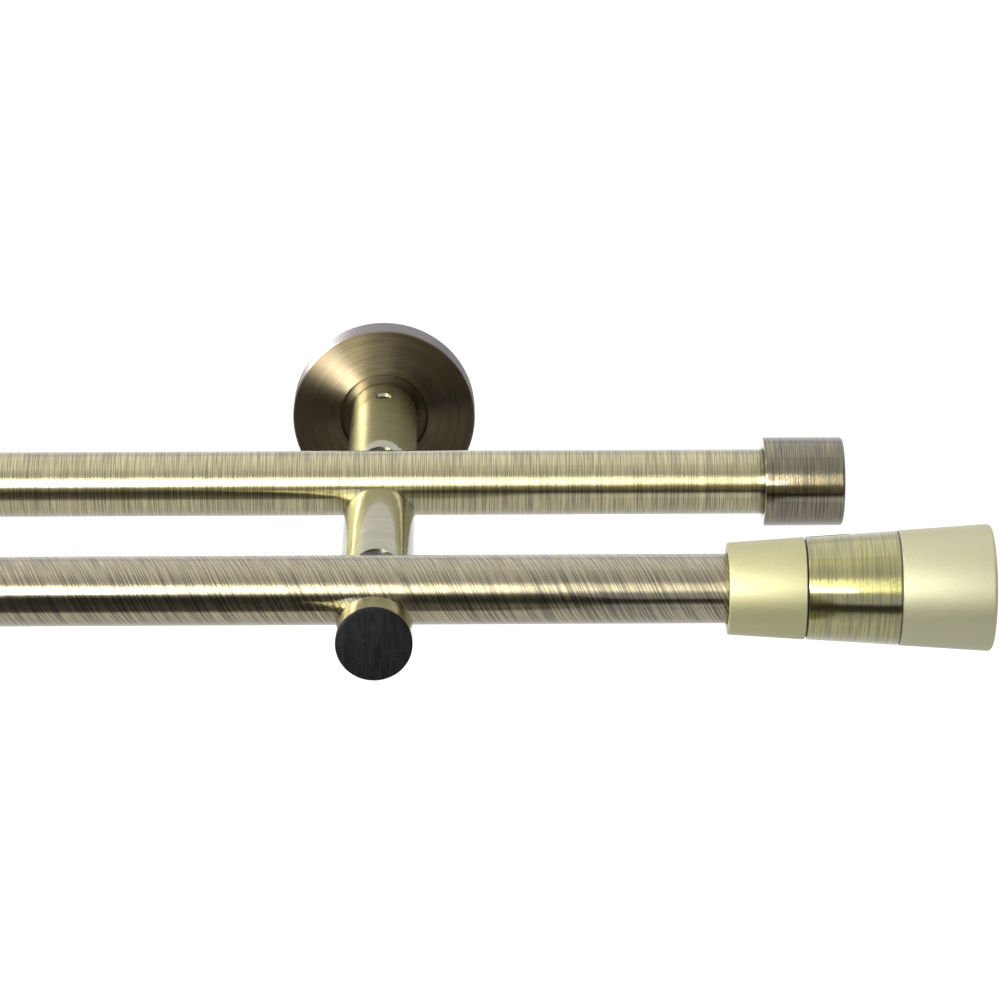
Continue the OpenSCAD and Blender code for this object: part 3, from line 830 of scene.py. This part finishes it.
class CURTAINPOLE_OT_plugs(bpy.types.Operator):
    """Turn the end plugs of the arms"""

    bl_idname = "curtain_pole.plugs"
    bl_label = "Model the end plugs"

    def execute(self, context):
        sizes = context.scene.pole_pieces
        outside = (PLUG_HIGH.z - PLUG_LOW.z) / 2
        spigot = (ARM_HIGH.z - ARM_LOW.z) / 2 - sizes.arm_wall - sizes.fit
        front, back = PLUG_LOW.y + PLUG_INSET, PLUG_HIGH.y
        end = front + sizes.plug_face
        rings = [(outside, front), (outside, end), (spigot, end), (spigot, back),
                 (spigot - sizes.plug_wall, back), (spigot - sizes.plug_wall, end)]
        centre = Vector((BRACKET_X, 0, ARM_AXIS.z))
        plug = turn("right_moulded_plug", "Y", centre, rings, bored=False, steps=96)
        round_rim(plug, "Y", centre, rings[0], 0.0005)
        round_rim(plug, "Y", centre, rings[3], 0.0003, segments=2)
        complete(plug, "right_end_plug")
        twin = moved(plug, "left_moulded_plug", (-2 * BRACKET_X, 0, 0))
        complete(twin, "left_end_plug")
        return {"FINISHED"}


def cross_cutter(centre, radius, depth, turned):
    """Two crossing bars that narrow downwards, to cut a screw's recess."""
    start_clean()
    bpy.ops.mesh.primitive_cube_add(size=1, location=centre)
    cutter = bpy.context.object
    bpy.ops.object.mode_set(mode="EDIT")
    bpy.ops.mesh.select_all(action="SELECT")
    bpy.ops.transform.resize(value=(radius * 1.1, radius * 0.24, depth * 2), center_override=centre)
    bpy.ops.object.mode_set(mode="OBJECT")
    for part in (*cutter.data.vertices, *cutter.data.edges, *cutter.data.polygons):
        part.select = False
    for vertex in cutter.data.vertices:
        vertex.select = vertex.co.z < 0
    bpy.ops.object.mode_set(mode="EDIT")
    bpy.ops.mesh.select_mode(type="VERT")
    bpy.ops.transform.resize(value=(0.35, 0.6, 1), center_override=centre)
    bpy.ops.mesh.select_all(action="SELECT")
    bpy.ops.transform.rotate(value=turned, orient_axis="Z", center_override=centre)
    bpy.ops.mesh.duplicate_move()
    bpy.ops.transform.rotate(value=math.pi / 2, orient_axis="Z", center_override=centre)
    bpy.ops.object.mode_set(mode="OBJECT")
    return cutter


class CURTAINPOLE_OT_screws(bpy.types.Operator):
    """Turn the block screws with their threads and cut their crosses"""

    bl_idname = "curtain_pole.screws"
    bl_label = "Model the block screws"

    def execute(self, context):
        sizes = context.scene.pole_pieces
        for turned, place in ((0.15, "rear"), (0.5, "front")):
            node = f"{place}_block_screw"
            low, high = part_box(f"right_{node}")
            centre = (low + high) / 2
            head, neck, shank = (high.x - low.x) / 2, 0.0003, sizes.shank
            rings = [(head, high.z), (head, high.z - neck), (shank, high.z - neck - (head - shank))]
            level = rings[-1][1] - sizes.thread
            while level > low.z + 2 * sizes.thread:
                rings += [(shank, level), (shank * 0.84, level - sizes.thread / 2)]
                level -= sizes.thread
            rings += [(shank, low.z + sizes.thread), (shank * 0.7, low.z)]
            screw = turn(f"right_threaded_{node}", "Z", centre, rings, bored=False, steps=48)
            round_rim(screw, "Z", centre, rings[0], 0.00012, segments=2)
            top = Vector((centre.x, centre.y, high.z))
            cutter = cross_cutter(top, head, head * 0.4, turned)
            start_clean()
            bpy.context.view_layer.objects.active = screw
            screw.select_set(True)
            cut = screw.modifiers.new("cross", "BOOLEAN")
            cut.object, cut.operation, cut.use_self = cutter, "DIFFERENCE", True
            bpy.ops.object.modifier_apply(modifier=cut.name)
            bpy.data.objects.remove(cutter)
            complete(screw, f"right_{node}")
            twin = moved(screw, f"left_threaded_{node}", (-2 * BRACKET_X, 0, 0))
            complete(twin, f"left_{node}")
        return {"FINISHED"}


class CURTAINPOLE_OT_finishes(bpy.types.Operator):
    """Make the finishes and put them on every piece of the frame"""

    bl_idname = "curtain_pole.finishes"
    bl_label = "Make the finishes"

    def execute(self, context):
        made = make_finishes(context.scene)
        for name, piece in frame["nodes"].items():
            if SLOTS[name] not in made:
                raise RuntimeError(f"no finish for the slot {SLOTS[name]}")
            piece.data.materials.clear()
            piece.data.materials.append(made[SLOTS[name]])
        return {"FINISHED"}


def add_lamp(name, size, power, direction, distance, aim, spread=180):
    """An area lamp that looks at its aim from a direction: azimuth and elevation, in degrees."""
    azimuth, elevation = (math.radians(angle) for angle in direction)
    away = Vector((math.sin(azimuth) * math.cos(elevation),
                   -math.cos(azimuth) * math.cos(elevation), math.sin(elevation)))
    data = bpy.data.lights.new(name, "AREA")
    data.shape = "RECTANGLE"
    data.size, data.size_y = size
    data.energy = power
    data.spread = math.radians(spread)
    lamp = bpy.data.objects.new(name, data)
    bpy.context.scene.collection.objects.link(lamp)
    lamp.location = aim + away * distance
    lamp.rotation_euler = away.to_track_quat("Z", "Y").to_euler()
    lamp.visible_camera = False


def white_where_seen(nodes, seen, other):
    """Shows one shader to the camera and in reflections, and another to the rest of the light."""
    path = nodes.node("ShaderNodeLightPath").outputs
    share = nodes.math("MAXIMUM", path["Is Camera Ray"], path["Is Glossy Ray"])
    return nodes.mixed(nodes.math("MAXIMUM", share, path["Is Transmission Ray"]), other, seen)


def light_world(scene):
    """A white world, of which the object gets a plain part as light."""
    scene.world = bpy.data.worlds.new("studio")
    nodes = Nodes(scene.world)
    seen, other = (nodes.node("ShaderNodeBackground", Color=WHITE, Strength=strength).outputs["Background"]
                   for strength in (1.0, ROOM_LIGHT))
    nodes.node("ShaderNodeOutputWorld", Surface=white_where_seen(nodes, seen, other))


def lay_floor(stage):
    """A pale floor that shows white and keeps the object's shadow."""
    bpy.ops.mesh.primitive_plane_add(size=stage.floor_size, location=(0, 0, -stage.floor_drop))
    floor = bpy.context.object
    floor.name = "floor"
    material = bpy.data.materials.new("pale_floor")
    nodes = Nodes(material)
    plain = nodes.node("ShaderNodeBsdfDiffuse", Color=FLOOR_COLOUR).outputs["BSDF"]
    lit = nodes.node("ShaderNodeAddShader")
    nodes.feed(lit.inputs[0], plain)
    nodes.feed(lit.inputs[1], nodes.node("ShaderNodeEmission", Strength=FLOOR_GLOW).outputs["Emission"])
    nodes.node("ShaderNodeOutputMaterial", Surface=white_where_seen(nodes, lit.outputs["Shader"], plain))
    floor.data.materials.append(material)


class Scrim(Nodes):
    """A stage piece's shader: dark by its own share, clear for the rest, and seen in reflections only."""

    def __init__(self, piece):
        material = bpy.data.materials.new(piece.name)
        super().__init__(material)
        self.find_place()
        piece.data.materials.append(material)
        piece.visible_camera = piece.visible_diffuse = False
        piece.visible_transmission = piece.visible_shadow = False

    def darken(self, share):
        """Ends the shader with a mix of clear and black."""
        clear = self.node("ShaderNodeBsdfTransparent").outputs["BSDF"]
        black = self.node("ShaderNodeEmission", Strength=0.0).outputs["Emission"]
        self.node("ShaderNodeOutputMaterial", Surface=self.mixed(share, clear, black))


def add_card(name, middle, width, height, turned=0.0):
    """A flat upright card, facing along y or turned from there."""
    start_clean()
    bpy.ops.mesh.primitive_plane_add(size=1, location=middle, rotation=(math.pi / 2, 0, turned))
    card = bpy.context.object
    card.name = name
    card.scale = (width, height, 1)
    bpy.ops.object.transform_apply(location=True, rotation=True, scale=True)
    return card


def hang_scrims(stage):
    """Dark cards in front and at the side and a dark pool below, for the metal's reflections."""
    top, foot, step, fade = stage.card_top, stage.card_foot, stage.card_step, stage.card_fade
    middle = (0, FRONT_AXIS.y - stage.card_gap, (top + foot) / 2)
    scrim = Scrim(add_card("front_card", middle, CARD_WIDTH, top - foot))
    out = scrim.math("ABSOLUTE", scrim.x)
    from_top = scrim.math("ADD", scrim.z, scrim.spread(out, CARD_STEP_FROM, CARD_STEP_TO, 0.0, step))
    from_foot = scrim.math("SUBTRACT", scrim.z, scrim.spread(out, CARD_STEP_FROM, CARD_STEP_TO, 0.0, 2 * step))
    upper = scrim.spread(from_top, top - fade, top, CARD_DARK, 0.0)
    lower = scrim.spread(from_foot, foot, foot + 2 * fade, 0.0, CARD_DARK)
    scrim.darken(scrim.math("MINIMUM", upper, lower))
    side = add_card("side_card", SIDE_CARD_MIDDLE, SIDE_CARD_WIDTH, SIDE_CARD_HEIGHT, turned=math.pi / 2)
    Scrim(side).darken(SIDE_CARD_DARK)
    start_clean()
    bpy.ops.mesh.primitive_circle_add(
        vertices=96, radius=stage.pool_radius, fill_type="NGON", location=(0, 0, 0.01 - stage.floor_drop))
    bpy.ops.object.transform_apply(location=True, rotation=False, scale=False)
    pool = bpy.context.object
    pool.name = "dark_pool"
    Scrim(pool).darken(stage.low_dark)


class CURTAINPOLE_OT_stage(bpy.types.Operator):
    """Add the camera, the pale floor and the studio light"""

    bl_idname = "curtain_pole.stage"
    bl_label = "Set the stage"

    def execute(self, context):
        scene = context.scene
        stage = scene.pole_stage
        data = bpy.data.cameras.new("camera")
        data.lens = stage.lens
        camera = bpy.data.objects.new("camera", data)
        scene.collection.objects.link(camera)
        camera.location = stage.camera
        camera.rotation_euler = (math.pi / 2 - stage.tilt, 0, -stage.yaw)
        data.clip_start, data.clip_end = 0.05, 100
        scene.camera = camera
        scene.view_settings.view_transform = "Standard"
        light_world(scene)
        lay_floor(stage)
        hang_scrims(stage)
        far, poles = stage.lamp_distance, Vector((0, (REAR_AXIS.y + FRONT_AXIS.y) / 2, REAR_AXIS.z))
        near, rose = 0.35 * far, Vector((BRACKET_X, ROSE_LOW.y, 0))
        add_lamp("front_softbox", (2.30, 0.42), stage.front_power, (-24, 17), far, poles)
        add_lamp("upper_softbox", (2.15, 0.56), stage.upper_power, (-16, 29), far, poles)
        add_lamp("key_softbox", (1.80, 0.80), stage.key_power, (-36, 21), far, poles)
        add_lamp("rose_softbox", (0.40, 0.30), stage.rose_power, (-42, 20), near, rose, spread=30)
        add_lamp("side_softbox", (0.35, 1.00), stage.side_power, (-85, 50), far, poles)
        add_lamp("back_softbox", (4.0, 1.9), stage.back_power, (180, 68), far, poles)
        return {"FINISHED"}


class CURTAINPOLE_PT_panel(bpy.types.Panel):
    """The steps that finish the curtain pole"""

    bl_idname = "CURTAINPOLE_PT_panel"
    bl_label = "Curtain Pole"
    bl_space_type = "VIEW_3D"
    bl_region_type = "UI"
    bl_category = "Curtain Pole"

    def draw(self, context):
        for step in OPERATORS:
            self.layout.operator(step.bl_idname)
        for group in GROUPS:
            box = self.layout.box()
            settings = getattr(context.scene, group)
            for name in settings.__annotations__:
                box.prop(settings, name)


GROUPS = {
    "pole_brass": BrassColours, "pole_plain": PlainColours, "pole_brush": BrushSizes,
    "pole_pieces": PieceSizes, "pole_stage": StageSizes,
}
OPERATORS = (
    CURTAINPOLE_OT_finishes, CURTAINPOLE_OT_poles, CURTAINPOLE_OT_caps, CURTAINPOLE_OT_finials,
    CURTAINPOLE_OT_roses, CURTAINPOLE_OT_plugs, CURTAINPOLE_OT_screws, CURTAINPOLE_OT_stage,
)
CLASSES = (*GROUPS.values(), *OPERATORS, CURTAINPOLE_PT_panel)


def register():
    for made in CLASSES:
        bpy.utils.register_class(made)
    for name, group in GROUPS.items():
        setattr(bpy.types.Scene, name, bpy.props.PointerProperty(type=group))


def unregister():
    for name in GROUPS:
        delattr(bpy.types.Scene, name)
    for made in reversed(CLASSES):
        bpy.utils.unregister_class(made)


def main():
    """Registers the classes and takes the steps in order."""
    register()
    bpy.ops.curtain_pole.finishes()
    bpy.ops.curtain_pole.poles()
    bpy.ops.curtain_pole.caps()
    bpy.ops.curtain_pole.finials()
    bpy.ops.curtain_pole.roses()
    bpy.ops.curtain_pole.plugs()
    bpy.ops.curtain_pole.screws()
    bpy.ops.curtain_pole.stage()


if __name__ == "__main__":
    main()
